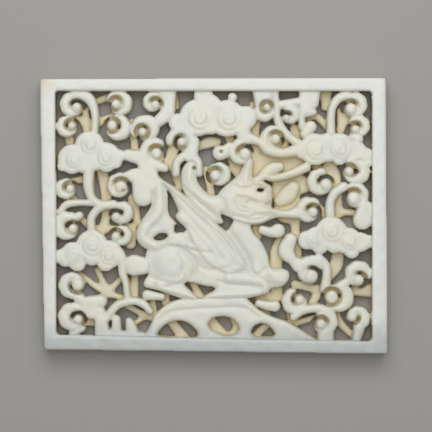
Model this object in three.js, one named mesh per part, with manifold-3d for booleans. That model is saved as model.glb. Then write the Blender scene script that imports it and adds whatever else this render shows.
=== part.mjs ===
// Openwork jade plaque: a rectangular border around a winged beast that reclines among clouds and
// curling fronds, over a ridge with three arches. One carved piece. It lies on its flat back.
// Millimetres, +Z up. X runs along the plaque, Y runs to its upper edge, Z is 0 at the flat back.
import * as THREE from 'three';
import { mergeVertices } from 'three/addons/utils/BufferGeometryUtils.js';
import Module from 'manifold-3d';

const wasm = await Module();
wasm.setup();

// ---- driving dimensions ----
const THICKNESS = 8;
const BACK = 0;
const LATTICE_TOP = 3.2;
const FROND_FOOT = 2.6;
const RELIEF_ROOT = 1;
const FROND_TOP = 7;
const KNOB_TOP = 7.4;
const SUNKEN_TOP = 4.8;
const CLOUD_TOP = FROND_TOP;
const SCROLL_TOP = 7.3;
const BEAST_TOP = 6.7;
const RIDGE_TOP = BEAST_TOP;
const LIMB_TOP = BEAST_TOP + 0.4;
const HAUNCH_TOP = BEAST_TOP + 0.5;
const WING_TOP = LIMB_TOP;
const MANE_TOP = LIMB_TOP;
const HEAD_TOP = 7.3;
const RIM_TOP = 7.5;
const FACE_TOP = 7.6;
const CURL_STEPS = 7;
const MAX_SWEEP = 345;
const CURL_EYE = 0.3;
const KNOB_SIDES = 6;
const WHORL_SIDES = 6;
const HAUNCH_SIDES = 10;
const CLOUD_SIDES = 20;

// The border was cut by hand and is slightly out of square.
const BORDER_OUTSIDE = [[-48.4, 37.2], [-47.8, 37.8], [47.1, 38.1], [47.6, 37.6], [48.1, -38.1],
  [47.6, -38.6], [-46.7, -37.4], [-47.2, -36.9]];
const BORDER_INSIDE = [[-44.0, 34.4], [43.6, 34.3], [43.6, -34.9], [0, -34.2], [-43.7, -33.1]];

// Curled fronds. Each row: centre x, y, outer radius, angle at the neck in degrees, way round
// (1 is counterclockwise), knob x, y, knob radius, half width at the neck.
const CURLS = [
  [-39.3, 30.5, 3.8, 70, 1, -38.2, 29.9, 1.5, 1.1],
  [-41.0, 24.5, 3.0, 60, 1, -39.6, 24.8, 1.3, 0.9],
  [-26.4, 30.8, 3.9, 150, -1, -27.3, 30.8, 1.5, 1.0],
  [-26.7, 24.2, 3.6, 135, -1, -28.4, 24.9, 1.6, 1.0],
  [-41.3, 7.2, 2.9, 70, 1, -40.0, 7.3, 1.4, 0.9],
  [-41.0, -3.2, 4.2, 45, 1, -39.2, -3.8, 1.5, 1.2],
  [-25.6, 0.8, 2.9, 130, -1, -27.3, -0.5, 1.4, 1.0],
  [-25.6, -5.6, 2.6, 120, -1, -27.3, -5.9, 1.4, 0.8],
  [-39.6, -19.6, 3.7, 290, -1, -37.9, -19.4, 1.9, 1.2],
  [-39.4, -28.5, 4.2, 60, 1, -37.8, -29.0, 1.5, 1.2],
  [-17.0, 31.2, 3.0, 60, 1, -16.4, 30.6, 1.4, 1.1],
  [-19.0, 23.7, 4.3, 200, -1, -20.0, 23.1, 1.4, 1.0],
  [-16.8, 17.0, 4.4, 60, 1, -16.1, 17.1, 1.7, 1.2],
  [-8.8, 20.6, 4.6, 185, -1, -9.1, 20.3, 1.4, 1.0],
  [-26.2, 7.9, 3.8, 80, 1, -25.9, 7.8, 1.9, 1.2],
  [7.8, 17.3, 4.0, 100, 1, 8.5, 17.0, 1.8, 1.5],
  [1.3, 11.2, 3.4, 150, -1, 0.3, 11.0, 1.7, 1.0],
  [14.0, 28.7, 2.9, 110, 1, 14.6, 29.9, 1.2, 1.4],
  [20.9, 28.0, 3.0, 100, -1, 20.0, 27.0, 1.1, 1.3],
  [16.4, 21.0, 3.9, 40, 1, 17.0, 21.1, 1.6, 1.2],
  [39.0, 30.6, 3.6, 135, -1, 37.9, 29.5, 1.8, 1.2],
  [40.2, 24.6, 3.2, 140, -1, 39.2, 23.8, 1.4, 1.0],
  [39.8, 12.0, 3.4, 120, -1, 37.4, 12.1, 1.5, 1.2],
  [29.5, 9.1, 3.8, 75, 1, 31.0, 8.5, 1.8, 0.9],
  [39.3, 5.2, 3.8, 120, -1, 38.7, 4.7, 2.0, 1.3],
  [26.3, 1.2, 3.8, 45, 1, 27.4, 0.8, 1.6, 1.0],
  [27.0, -15.6, 4.4, 30, 1, 27.0, -17.0, 2.0, 1.2],
  [40.0, -16.6, 3.9, 0, 1, 40.1, -18.1, 1.7, 1.3],
  [34.8, -22.9, 3.9, 150, -1, 32.6, -22.8, 2.0, 1.2],
  [39.8, -28.7, 3.5, -80, 1, 38.3, -28.4, 1.5, 1.5],
  [30.5, -30.2, 3.9, 110, -1, 29.6, -30.3, 1.6, 1.2],
  [22.6, -24.2, 3.9, 110, 1, 23.7, -23.5, 1.5, 1.2],
];

// Stems and leaves in the front layer. Each point is x, y, half width.
const STEMS = [
  [[-33.3, 23, 1.0], [-33.1, 27, 1.0], [-33.6, 30, 1.2], [-35.2, 32.6, 1.5], [-38.6, 33.6, 1.4]],
  [[-34.9, 12, 1.5], [-35.0, 8, 1.4], [-34.0, 4.6, 1.1], [-31.5, 2.8, 1.2], [-28, 2.9, 1.2]],
  [[-34.2, -4, 1.1], [-34.2, -1, 1.1], [-32.8, 1.2, 1.1], [-30.5, 2.7, 1.1]],
  [[-43, 0.8, 0.8], [-41, 2.9, 1.0], [-37.5, 3.4, 0.9], [-34, 3.2, 0.8]],
  [[-39, -1, 1.2], [-37.5, -0.2, 1.1]],
  [[-38.3, -22, 1.5], [-36.6, -24.2, 1.6], [-34, -24.2, 1.7], [-31.6, -24, 1.75]],
  [[-36.5, -26, 1.1], [-34.4, -27.4, 1.5], [-32, -27, 1.7]],
  [[-36.5, -24.5, 1.2], [-33, -26.5, 1.6], [-31.6, -29, 1.7], [-31, -34, 2.2]],
  [[-27.6, -34, 1.7], [-27.2, -31, 1.3], [-27.3, -29.1, 1.25]],
  [[-22.6, -34, 2.0], [-23.2, -31, 1.4], [-23.8, -29.4, 0.8]],
  [[-39.4, -33, 1.0], [-36.6, -31.6, 0.8]],
  [[-31, -33.2, 1.4], [-20, -34, 1.4]],
  [[-30, -28.8, 1.1], [-27.5, -25.6, 1.1], [-25, -24.4, 1.05], [-22, -24.0, 1.05], [-19.5, -25, 1.05],
    [-17.8, -26.8, 0.8]],
  [[-25.6, -12, 1.2], [-25.5, -16, 1.1], [-24.6, -19, 0.9], [-24.1, -23, 0.9]],
  [[-22.2, -14, 2.9], [-20, -14.2, 2.4]],
  [[-18.6, -22.3, 1.4], [-14.6, -22.8, 0.9]],
  [[-13.2, 34.5, 2.6], [-12.9, 31, 2.1], [-13.2, 28.3, 2.0], [-15.5, 26, 1.6]],
  [[-10.7, 11.5, 1.0], [-10.2, 14.8, 1.1], [-7.2, 16.7, 1.2], [-4.6, 14.8, 1.1], [-4.2, 11.5, 0.9]],
  [[-6.4, 20, 2.3], [-6.6, 16.5, 2.0]],
  [[-24.6, 10.5, 1.4], [-21, 10.5, 2.3], [-19.8, 5.2, 2.8]],
  [[-24, 16.6, 1.6], [-19.5, 15, 2.2], [-18, 9, 3.0]],
  [[-17, 14, 1.5], [-13.8, 13, 1.1]],
  [[1.5, 17.2, 2.0], [3.0, 17.6, 1.7], [4.2, 19.2, 1.0]],
  [[7.6, 25, 2.0], [8.3, 21.6, 2.0]],
  [[8.6, 21.5, 1.8], [12.3, 20.4, 1.1], [15, 18.0, 1.3], [19, 17.2, 1.3], [23, 18, 1.6]],
  [[12.2, 34.5, 1.6], [12.8, 31.0, 1.6]],
  [[15.2, 34.6, 1.2], [15.0, 31, 1.0]],
  [[16.8, 34.5, 1.1], [17.3, 30, 0.9], [17.6, 26.5, 1.1], [19.0, 23.6, 1.2], [21.2, 21.4, 1.1],
    [24, 19.5, 1.2]],
  [[18.6, 30.6, 1.2], [24, 31.5, 1.2]],
  [[25.2, 34.8, 1.6], [25.4, 31.6, 1.7], [26.6, 30.9, 1.5]],
  [[25.0, 31, 1.5], [25.4, 29, 1.7], [27.6, 28.5, 0.9]],
  [[28.2, 34.8, 1.3], [27.8, 31, 1.2]],
  [[24.4, 29, 0.9], [24.3, 24.4, 0.9]],
  [[25.2, 22.5, 1.3], [26.8, 24.5, 1.6]],
  [[32.4, 23, 1.2], [32.4, 27, 1.1], [32.9, 30, 1.1], [34.6, 32.4, 1.2], [37, 33.4, 1.3]],
  [[32.2, 0, 1.3], [32.2, 3.4, 1.2], [33.6, 6.2, 1.2], [36, 7.8, 1.3]],
  [[41.2, -1.5, 2.6], [42.0, 2.0, 2.0]],
  [[30.8, -20.6, 1.4], [31.2, -17, 1.2], [31, -14.2, 1.2], [29, -12, 1.3]],
  [[22, -28.4, 1.0], [25, -26.5, 1.1], [29, -26.0, 1.2], [32, -27.4, 1.4], [33.2, -30, 1.3]],
  [[31, -34.5, 2.2], [31, -32, 2.2]],
  [[39.4, -34.8, 1.2], [40.2, -31.8, 1.5]],
  [[12.4, -24.6, 1.0], [14.6, -25.2, 1.2], [16.8, -25.4, 1.5]],
  [[13.4, -4.2, 1.2], [15.8, -4.8, 1.4], [17.7, -4.4, 1.9]],
  [[21.2, -6.8, 1.7], [20, -10, 2.2], [21.8, -12.6, 1.4], [23.5, -14, 2.0]],
  [[16, 0.6, 1.2], [20, 0.2, 1.0], [23, 0.6, 1.6]],
  [[35, -20, 1.4], [37.4, -18, 1.1], [37.6, -15.6, 1.1]],
  [[11.6, 9.6, 1.0], [14, 10.8, 1.1], [16.5, 10.2, 0.9], [20.9, 11.3, 1.1], [25.5, 13.2, 1.3]],
  [[13.4, 11.4, 1.0], [15.8, 12.7, 1.7], [18.2, 13.4, 1.2]],
  [[39, 22, 1.4], [40, 21, 1.4]],
];

// Leaf of the deep layer that shows in a pocket beside the head. Points as above.
const SUNKEN_LEAF = [[18.2, 3.9, 1.5], [20.4, 5.5, 2.3], [22.0, 7.6, 1.8]];

// Plain stems of the back layer, behind the fronds. Points as above.
const LATTICE = [
  [[-31.5, 13, 1.6], [-30.2, 6, 1.6], [-30.2, 0, 1.4], [-31.4, -4.6, 1.2]],
  [[-36, 29.5, 0.9], [-35.6, 23.5, 1.2]],
  [[-36, 26, 1.2], [-41.5, 27, 1.2]],
  [[-41, 23.5, 1.3], [-40.4, 20.5, 1.3]],
  [[-33.2, 31.6, 1.0], [-28, 33.5, 1.0]],
  [[-33, 25.5, 1.3], [-28, 27.6, 1.0]],
  [[-36.5, 10, 1.1], [-42, 9, 1.0]],
  [[-41.5, 5, 1.2], [-39, 4.6, 0.8]],
  [[-38, -0.6, 1.0], [-34, -3.8, 1.0]],
  [[-32.5, -4.0, 0.9], [-23.5, -3.8, 1.2]],
  [[-23.4, -4, 1.4], [-23.4, -8, 1.6]],
  [[-22.6, 4.5, 1.6], [-21.5, -2, 1.0]],
  [[-38, -16.4, 0.9], [-30.5, -21.6, 0.9], [-24.5, -23.4, 0.8]],
  [[-32.6, -15.4, 0.8], [-29.6, -21.8, 1.0]],
  [[-26, -17.8, 0.8], [-30, -21.8, 1.0]],
  [[-35.8, -29.8, 1.2], [-33, -30, 1.2]],
  [[-22.2, -17, 1.1], [-22.4, -23, 1.3]],
  [[-24.5, -25.4, 0.9], [-17.6, -28.8, 0.9]],
  [[-22, -30.2, 0.7], [-17.6, -27, 0.8]],
  [[-12.8, 15.5, 1.6], [-11.4, 18.6, 1.6], [-12.6, 21.4, 1.2]],
  [[-12.2, 15.5, 1.4], [-9.4, 8, 1.4]],
  [[-22.9, 26, 1.0], [-22.2, 18.5, 1.2]],
  [[-10.9, 33.5, 0.8], [-10.5, 30, 0.7]],
  [[-4.4, 19, 1.1], [-1.5, 20.2, 1.6], [1, 20.4, 1.0]],
  [[4.2, 22, 1.4], [5.2, 17.5, 1.0]],
  [[11.6, 25.8, 1.4], [11.2, 21, 1.2]],
  [[10.6, 30.8, 0.9], [10.4, 28, 0.9]],
  [[11.6, 19, 1.4], [11.4, 16, 1.6]],
  [[5.8, 13.2, 1.5], [9, 13.4, 1.4], [13.6, 12.5, 1.5]],
  [[19.2, 19.8, 1.6], [21, 12.6, 1.2]],
  [[22.4, 24, 1.4], [23.6, 21.6, 1.4]],
  [[20.2, 1, 3.4], [20.2, 10, 4.2]],
  [[10.8, 12.4, 2.0], [15.4, 15.4, 2.2], [20.6, 14.8, 2.2], [24.4, 15, 1.8]],
  [[5.0, 15.6, 1.4], [7.2, 11, 1.6]],
  [[25, 7.5, 1.6], [24, 9.6, 1.8]],
  [[-2.2, 12.6, 1.1], [-0.8, 6, 1.1]],
  [[31, 30.2, 1.2], [31.2, 35, 1.9]],
  [[25.4, 27, 0.9], [28.6, 27.3, 1.0], [32, 24, 1.0]],
  [[35, 29, 0.9], [35.8, 26, 1.4], [35.2, 23.6, 1.2]],
  [[35.8, 26.4, 1.2], [39, 26.4, 1.0]],
  [[31.6, 15, 1.2], [33.2, 11.6, 1.9], [34.2, 8, 1.4]],
  [[28, 13.4, 0.9], [32.6, 11.6, 1.0]],
  [[28, 3.8, 0.9], [31, 0, 1.2]],
  [[35, 5.5, 0.9], [34.4, 0.2, 1.3]],
  [[34.5, 0.8, 1.0], [40, 0.6, 0.9]],
  [[22.6, -0.8, 1.5], [22.6, -7, 1.2]],
  [[23.2, -8, 1.2], [23.4, -12, 1.2]],
  [[34.6, -10, 1.6], [34.0, -14, 1.9], [32.4, -17.5, 0.9]],
  [[11.8, -3.6, 1.3], [12.3, -6, 1.0]],
  [[18.6, -8, 2.0], [17.4, -11, 1.9], [17.4, -15.5, 1.6]],
  [[17.4, -20.6, 1.7], [17.2, -23, 1.6], [15, -22.6, 1.2]],
  [[12.6, -23.5, 1.3], [14.4, -27.6, 1.0]],
  [[22.5, -19.4, 1.2], [30, -21, 1.2]],
  [[29.4, -21.4, 1.4], [26.4, -26, 0.9]],
  [[21, -27.6, 1.0], [21.8, -30.6, 0.9]],
  [[22, -30.4, 0.9], [28.5, -28.6, 0.9]],
  [[38.8, -21.2, 1.4], [44.2, -21.2, 1.9]],
  [[34.2, -27.2, 0.8], [35.4, -30.4, 1.1], [39.6, -34.6, 0.8]],
  [[-6.4, -18.4, 0.9], [-3.6, -23.4, 1.2]],
  [[-13.6, -21, 1.2], [-13.6, -24.4, 1.2]],
  [[-17.2, -24.6, 1.0], [-17, -27, 1.0]],
  [[-13, -28.5, 1.2], [-8, -35, 1.6]],
  [[-2.5, -27.5, 1.2], [3.5, -35, 1.6]],
  [[5.5, -28.5, 1.1], [6, -31.5, 0.9], [4, -34.5, 1.0]],
  [[15.4, -30, 1.1], [10.5, -34.6, 1.0]],
];

// Clouds. Lobes are x, y, radius; scrolls are the raised whorls on them.
const CLOUDS = [
  { // upper left
    lobes: [[-34.6, 19.2, 4.2], [-39.4, 15.6, 4.1], [-30, 16.2, 4.0], [-35, 15.6, 3.8], [-42, 13.6, 1.7],
      [-39.6, 13.2, 2.0], [-36.8, 13.4, 1.8], [-33, 14.2, 2.0], [-30, 14, 2.3], [-27.6, 14.8, 2.1],
      [-26.2, 16.4, 1.8]],
    scrolls: [[-34.6, 19.6, 3.0], [-39, 15.4, 2.6], [-30.2, 16, 2.6]],
  },
  { // top
    lobes: [[-4.6, 27, 5.2], [3.6, 26.8, 5.2], [-10.2, 25.6, 2.6], [8.6, 27, 3.4], [-7.8, 25, 2.6],
      [-1, 30.5, 3.0], [-1, 24.6, 2.4], [5, 24.8, 2.0], [8, 24.2, 2.2], [-3, 33, 2.8], [5, 32.6, 1.4]],
    scrolls: [[-4.2, 27, 3.6], [3.8, 26.8, 3.6]],
  },
  { // upper right
    lobes: [[28, 18.2, 4.5], [34.8, 18.6, 4.2], [31.2, 20.4, 2.4], [31.6, 17.2, 2.6], [39.4, 17.8, 2.9],
      [42, 16.6, 2.2], [24.6, 17.6, 2.2], [28.4, 15.6, 1.8], [34.8, 15.6, 1.9], [38.2, 14.6, 1.8],
      [42.6, 14.4, 1.4]],
    scrolls: [[28.2, 18, 3.0], [34.8, 18.2, 3.0]],
  },
  { // lower left
    lobes: [[-34, -8.6, 4.5], [-39.2, -11, 3.6], [-29.4, -11, 4.0], [-42.2, -11.6, 2.3], [-38, -13.4, 2.4],
      [-30.2, -13.4, 2.4], [-27, -11.4, 2.4], [-34, -12, 2.2], [-41.4, -12.8, 1.8]],
    scrolls: [[-34, -8.4, 3.1], [-39.2, -11.4, 2.5], [-29.4, -11.2, 2.8]],
  },
  { // right
    lobes: [[32.5, -5, 4.6], [25.8, -7, 2.7], [28.4, -6.6, 3.4], [37.2, -7, 3.6], [40.6, -7.6, 2.8],
      [42.6, -7.4, 2.0], [33.4, -8.2, 2.6], [29.4, -8.6, 2.4], [38.2, -10, 2.2], [36, -8.6, 2.2]],
    scrolls: [[32.5, -4.6, 3.2], [27.4, -6.8, 2.4], [37.6, -7.4, 2.6]],
  },
];

// Ridge under the beast: its skyline, and the three arches cut through it.
const RIDGE = [[-20.6, -35], [-17.8, -31], [-16.8, -28], [-13.4, -24.8], [-10, -23.4], [-4, -23.2],
  [2, -22.6], [8.7, -22.8], [12, -26.2], [16, -28.3], [20.2, -29.6], [25, -32.5], [29, -35]];
const ARCHES = [
  [[-16.3, -33.3], [-13.5, -30.1], [-9.5, -29.1], [-6.4, -30.4], [-3.9, -33.4], [-6, -34.4], [-15, -33.7]],
  [[-2.0, -31.2], [-1.4, -29.2], [0.6, -28.1], [4.6, -28.3], [6.8, -30.4], [7.2, -32.4], [4.6, -33.8],
    [1, -33]],
  [[10.1, -33.4], [10.4, -31.4], [12, -30.2], [14.3, -30], [16.2, -31.6], [17.4, -33.9], [12, -34.1]],
];

// Outlines of the beast.
const TAIL = [[-17.2, 11], [-17.4, 4], [-17.6, 2.2], [-20, -1.1], [-21.7, -4], [-21.7, -7.2], [-20, -9],
  [-18.6, -9.8], [-14, -9], [-9, -7], [-9, -4], [-12.8, 0.2], [-12.9, 6.5], [-15, 11]];
const TRUNK = [[-18.8, -9.3], [-19.3, -12], [-19.1, -15.6], [-18, -16.4], [-19.3, -17.6], [-20, -20],
  [-15, -21.2], [-9, -23.4], [-3.8, -23.6], [-6.4, -21.4], [-8.9, -18.9], [-6.4, -18.6], [-2.8, -19.8],
  [0.2, -20], [0.3, -21.0], [-2.2, -22.0], [-3.6, -23.4], [2, -23.8], [8.8, -23.4], [15.4, -21.8],
  [15.4, -20.3], [18.8, -20.1], [20.2, -19], [21.3, -16.6], [20, -14.9], [15.4, -14.9], [15.1, -11.4],
  [13.3, -7.6], [10.4, -4.6], [10, -1.6], [5.4, -0.6], [5.3, -1.9], [3.6, -4.6], [0, -5], [-6.8, -3.6],
  [-9.6, -5.4], [-12, -7]];
const WING = [[-15.4, 10.4], [-12.9, 9.0], [-9.8, 7], [-5.1, 2.2], [-0.2, -1.8], [3.5, -4.6], [6, -8.4],
  [8.5, -12.4], [9.1, -15.5], [4, -17], [-2, -14], [-6.4, -8], [-7.8, -3.8], [-10.4, -1.6], [-11.2, 0.2],
  [-9.8, 0.6], [-12.2, 6]];
const HEAD = [[0.6, 5.4], [2.2, 7.4], [4.4, 9.2], [6.6, 11.0], [9.2, 15.6], [10.9, 16.0], [10.6, 9.6],
  [13, 9.9], [14.6, 8.8], [16.3, 7.8], [16.2, 3.4], [15.6, 1.9], [17.6, 1.4], [20, 0.7], [19.6, -0.2], [16, -1.2],
  [12.8, -2.8], [9.7, -2.8], [5.2, -1.3], [2.8, -0.8]];
const MANE = [[-9, 13.2], [-7, 15.3], [-5, 14.6], [-4.8, 12], [-4.9, 9.4], [-2.6, 6.4], [-0.6, 5.2], [3, 6],
  [4, 1], [2.6, -0.6], [2.6, -3], [-0.2, -1.8], [-5.1, 2.2], [-8.8, 6.6], [-9.4, 10]];

// Openings through the beast: three by the tail, one at the neck and a slot over the muzzle.
const BEAST_GAPS = [
  [[-12.3, 5.8], [-9.8, 0.6], [-12.6, 0.2]],
  [[-10.9, -2.2], [-8.2, -4.6], [-11.2, -5.1]],
  [[-17.3, -6.6], [-15.2, -5.0], [-12.9, -5.2], [-13.2, -6.6], [-15.4, -7.2]],
  [[1.6, 0.4], [5.4, -1.2], [3.6, -4.3]],
  [[11.6, 7.0], [12.6, 7.5], [14.1, 7.2], [13.4, 6.4], [12.3, 6.3]],
];
// Raised bands on it: thigh, hind foot, folded and outstretched forelegs, back and tail.
const LIMBS = [
  [[-10, -17, 2.2], [-15.5, -19.2, 1.6]],
  [[-15, -20.2, 1.2], [-9, -21.8, 1.1], [-3.8, -23.6, 1.0]],
  [[4, -17.5, 1.6], [13, -18.6, 1.5], [13, -21.4, 1.3], [3, -22.2, 1.2], [-1.4, -22.6, 0.8]],
  [[12, -16, 1.4], [18.8, -17.4, 2.2]],
  [[-17.6, -9.4, 0.9], [-12.3, -7.7, 0.9], [-4, -9.2, 0.7]],
  [[-16, -8.8, 1.6], [-19.6, -6.4, 1.7], [-19, -3, 1.7], [-15.6, 1, 1.9], [-15.2, 9, 1.4]],
];
// The rim along the wing's leading edge.
const WING_RIM = [[-14.6, 9.4, 0.6], [-10, 5.9, 0.7], [-5.2, 1.4, 0.7], [0.3, -3.3, 0.7], [4.6, -8.5, 0.6],
  [7.9, -14, 0.6]];
// Bands of the head: brow, lobe over the muzzle, muzzle, jaw and lip.
const FACE = [
  [[6.4, 5.8, 0.6], [9.2, 5.6, 0.8], [12.6, 4.2, 0.6]],
  [[10.6, 8.9, 0.6], [12.8, 8.9, 0.9], [14.4, 8.0, 0.8]],
  [[15.3, 7.2, 0.9], [15.3, 4.4, 0.9]],
  [[2.4, 0.2, 0.5], [5.4, -0.9, 0.6], [9.7, -2.0, 0.7], [13, -1.8, 0.7], [15.2, -0.8, 0.5]],
  [[12.6, 0.9, 0.5], [15.6, 1.2, 0.6], [19.4, 0.3, 0.5]],
];
const HAUNCH = [-12.3, -14, 5.8];

const jade = new THREE.MeshStandardMaterial({ color: 0xd8d8c8, roughness: 0.38, metalness: 0 });

// ---- solids ----
function toSolid(geometry) {
  geometry.deleteAttribute('normal');
  geometry.deleteAttribute('uv');
  const merged = mergeVertices(geometry, 1e-4);
  const mesh = new wasm.Mesh({
    numProp: 3,
    vertProperties: new Float32Array(merged.attributes.position.array),
    triVerts: new Uint32Array(merged.index.array),
  });
  return new wasm.Manifold(mesh);
}

function toGeometry(solid) {
  const mesh = solid.getMesh();
  const geometry = new THREE.BufferGeometry();
  geometry.setAttribute('position', new THREE.BufferAttribute(mesh.vertProperties, 3));
  geometry.setIndex(new THREE.BufferAttribute(mesh.triVerts, 1));
  geometry.computeVertexNormals();
  return geometry;
}

function joined(solids) {
  return solids.reduce((whole, next) => whole.add(next));
}

// A flat slab between two heights, with the given outline of [x, y] points. The upper edge may be
// cut back by a chamfer.
function slab(points, low, high, chamfer = 0) {
  const shape = new THREE.Shape(points.map(([x, y]) => new THREE.Vector2(x, y)));
  const geometry = new THREE.ExtrudeGeometry(shape, {
    depth: high - low - 2 * chamfer,
    bevelEnabled: chamfer > 0,
    bevelThickness: chamfer,
    bevelSize: chamfer,
    bevelOffset: -chamfer,
    bevelSegments: 1,
  });
  geometry.translate(0, 0, low + chamfer);
  return toSolid(geometry);
}

function circlePoints(x, y, radius, sides) {
  return Array.from({ length: sides }, (_, i) => {
    const angle = (i / sides) * 2 * Math.PI;
    return [x + radius * Math.cos(angle), y + radius * Math.sin(angle)];
  });
}

function disc(x, y, radius, low, high, sides = 16, chamfer = 0) {
  return slab(circlePoints(x, y, radius, sides), low, high, chamfer);
}

// Outline of a tapered stem along a smooth line through [x, y, half width] points. Its start is
// square, because another piece always covers it, and its end comes to a blunt tip.
function stemOutline(points, samples, tipped) {
  const curve = new THREE.CatmullRomCurve3(points.map(([x, y, half]) => new THREE.Vector3(x, y, half)));
  const left = [];
  const right = [];
  for (let i = 0; i <= samples; i++) {
    const { x, y, z: half } = curve.getPoint(i / samples);
    const along = curve.getTangent(i / samples).setZ(0).normalize();
    left.unshift([x - along.y * half, y + along.x * half]);
    right.push([x + along.y * half, y - along.x * half]);
    if (i === samples && tipped) right.push([x + along.x * half, y + along.y * half]);
  }
  return [...right, ...left];
}

function frontStem(points) {
  return slab(stemOutline(points, points.length - 1, true), FROND_FOOT, FROND_TOP);
}

function backStem(points) {
  return slab(stemOutline(points, points.length - 1, false), BACK, LATTICE_TOP);
}

// A curl is a band that winds in from its neck to the knob. Its radius and half width blend from
// the neck, through a full disc half way round, to the knob.
function curlBand([x, y, radius, neckAngle, way, knobX, knobY, knobRadius, neckHalf]) {
  const knobDistance = Math.hypot(knobX - x, knobY - y);
  const knobAngle = THREE.MathUtils.radToDeg(Math.atan2(knobY - y, knobX - x));
  const gap = THREE.MathUtils.euclideanModulo(way * (knobAngle - neckAngle), 360);
  const sweep = Math.min(gap, MAX_SWEEP);
  const outer = [];
  const inner = [];
  for (let i = 0; i <= CURL_STEPS; i++) {
    const t = i / CURL_STEPS;
    const angle = THREE.MathUtils.degToRad(neckAngle + way * sweep * t);
    const blend = (start, middle, end) => (1 - t) ** 2 * start + 2 * t * (1 - t) * middle + t ** 2 * end;
    const centre = blend(radius - neckHalf, radius / 2, knobDistance);
    const half = blend(neckHalf, radius / 2, knobRadius);
    const place = (r) => [x + r * Math.cos(angle), y + r * Math.sin(angle)];
    outer.push(place(centre + half));
    if (i % 2 === 0) inner.unshift(place(Math.max(centre - half, CURL_EYE)));
  }
  const outline = [...outer, ...inner];
  return way > 0 ? outline : outline.reverse();
}

function curl(row) {
  const [, , , , , knobX, knobY, knobRadius] = row;
  const band = slab(curlBand(row), FROND_FOOT, FROND_TOP);
  const knob = disc(knobX, knobY, knobRadius, FROND_FOOT, KNOB_TOP, KNOB_SIDES);
  return band.add(knob);
}

// A cloud's scalloped outline is the farthest reach of its round lobes in each direction.
function cloudOutline(lobes) {
  const [middleX, middleY] = lobeCentre(lobes);
  return Array.from({ length: CLOUD_SIDES }, (_, i) => {
    const angle = (i / CLOUD_SIDES) * 2 * Math.PI;
    const reaches = lobes.map(([x, y, radius]) => {
      const along = (x - middleX) * Math.cos(angle) + (y - middleY) * Math.sin(angle);
      const aside = (y - middleY) * Math.cos(angle) - (x - middleX) * Math.sin(angle);
      return Math.abs(aside) < radius ? along + Math.sqrt(radius ** 2 - aside ** 2) : 0;
    });
    const reach = Math.max(...reaches);
    return [middleX + reach * Math.cos(angle), middleY + reach * Math.sin(angle)];
  });
}

function lobeCentre(lobes) {
  const mean = (axis) => lobes.reduce((sum, lobe) => sum + lobe[axis], 0) / lobes.length;
  return [mean(0), mean(1)];
}

function cloud({ lobes, scrolls }) {
  const body = slab(cloudOutline(lobes), BACK, CLOUD_TOP);
  const foot = CLOUD_TOP - RELIEF_ROOT;
  const whorls = scrolls.map(([x, y, radius]) => disc(x, y, radius, foot, SCROLL_TOP, WHORL_SIDES));
  return joined([body, ...whorls]);
}

function border() {
  const rim = 0.5;
  const frame = slab(BORDER_OUTSIDE, BACK, THICKNESS - rim).add(slab(BORDER_OUTSIDE, 1, THICKNESS, rim));
  return frame.subtract(slab(BORDER_INSIDE, BACK - 1, THICKNESS + 1));
}

function ridge() {
  const arches = ARCHES.map((arch) => slab(arch, BACK - 1, THICKNESS));
  const opened = slab(RIDGE, BACK, RIDGE_TOP).subtract(joined(arches));
  const behind = LATTICE.filter((points) => points.some(([x, y]) => x > -15 && x < 16 && y < -28));
  return opened.add(joined(behind.map(backStem)));
}

// Raised bands on the beast, each along [x, y, half width] points.
function raised(bands, height) {
  const foot = BEAST_TOP - RELIEF_ROOT;
  return bands.map((points) => slab(stemOutline(points, points.length - 1, true), foot, height));
}

function beast() {
  const body = joined([
    slab(TRUNK, BACK, BEAST_TOP),
    slab(TAIL, BACK, BEAST_TOP),
    slab(WING, BACK, WING_TOP),
    slab(MANE, BACK, MANE_TOP),
    slab(HEAD, BACK, HEAD_TOP),
    disc(...HAUNCH, BEAST_TOP - RELIEF_ROOT, HAUNCH_TOP, HAUNCH_SIDES),
    ...raised(LIMBS, LIMB_TOP),
    ...raised([WING_RIM], RIM_TOP),
    ...raised(FACE, FACE_TOP),
  ]);
  const gaps = BEAST_GAPS.map((gap) => slab(gap, BACK - 1, THICKNESS));
  return body.subtract(joined(gaps));
}

const fronds = [...CURLS.map(curl), ...STEMS.map(frontStem)];
const sunkenLeaf = slab(stemOutline(SUNKEN_LEAF, SUNKEN_LEAF.length - 1, true), FROND_FOOT, SUNKEN_TOP);
const carving = joined([border(), ...CLOUDS.map(cloud), ridge(), beast(), ...fronds, sunkenLeaf,
  ...LATTICE.map(backStem)]);

const plaque = new THREE.Mesh(toGeometry(carving), jade);
plaque.name = 'jade_plaque';

const group = new THREE.Group();
group.add(plaque);
export default group;
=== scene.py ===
"""Openwork jade plaque: a winged beast that reclines among clouds and curling fronds in a border.

The plaque is one mesh. Its strokes, discs and outlines are drawn on flat layers, and each layer is
raised to its height in a field of signed distances in millimetres. Fine relief is then engraved into
the front, and the surface is taken from the field.
"""
import math
from collections import namedtuple

import bpy
import numpy as np
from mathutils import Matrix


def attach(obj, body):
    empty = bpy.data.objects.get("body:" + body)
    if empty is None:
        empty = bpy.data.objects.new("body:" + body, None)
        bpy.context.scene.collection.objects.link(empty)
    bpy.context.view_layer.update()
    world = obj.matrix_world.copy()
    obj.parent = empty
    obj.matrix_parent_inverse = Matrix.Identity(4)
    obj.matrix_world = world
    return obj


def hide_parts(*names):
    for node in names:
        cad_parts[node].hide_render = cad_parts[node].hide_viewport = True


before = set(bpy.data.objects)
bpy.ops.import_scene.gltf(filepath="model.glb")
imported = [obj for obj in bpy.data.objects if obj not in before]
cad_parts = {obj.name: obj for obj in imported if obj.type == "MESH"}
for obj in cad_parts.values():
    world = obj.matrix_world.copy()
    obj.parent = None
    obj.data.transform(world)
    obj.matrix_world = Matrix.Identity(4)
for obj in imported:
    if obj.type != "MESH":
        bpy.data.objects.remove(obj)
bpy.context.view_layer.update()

import openvdb
from mathutils import Vector

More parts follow.
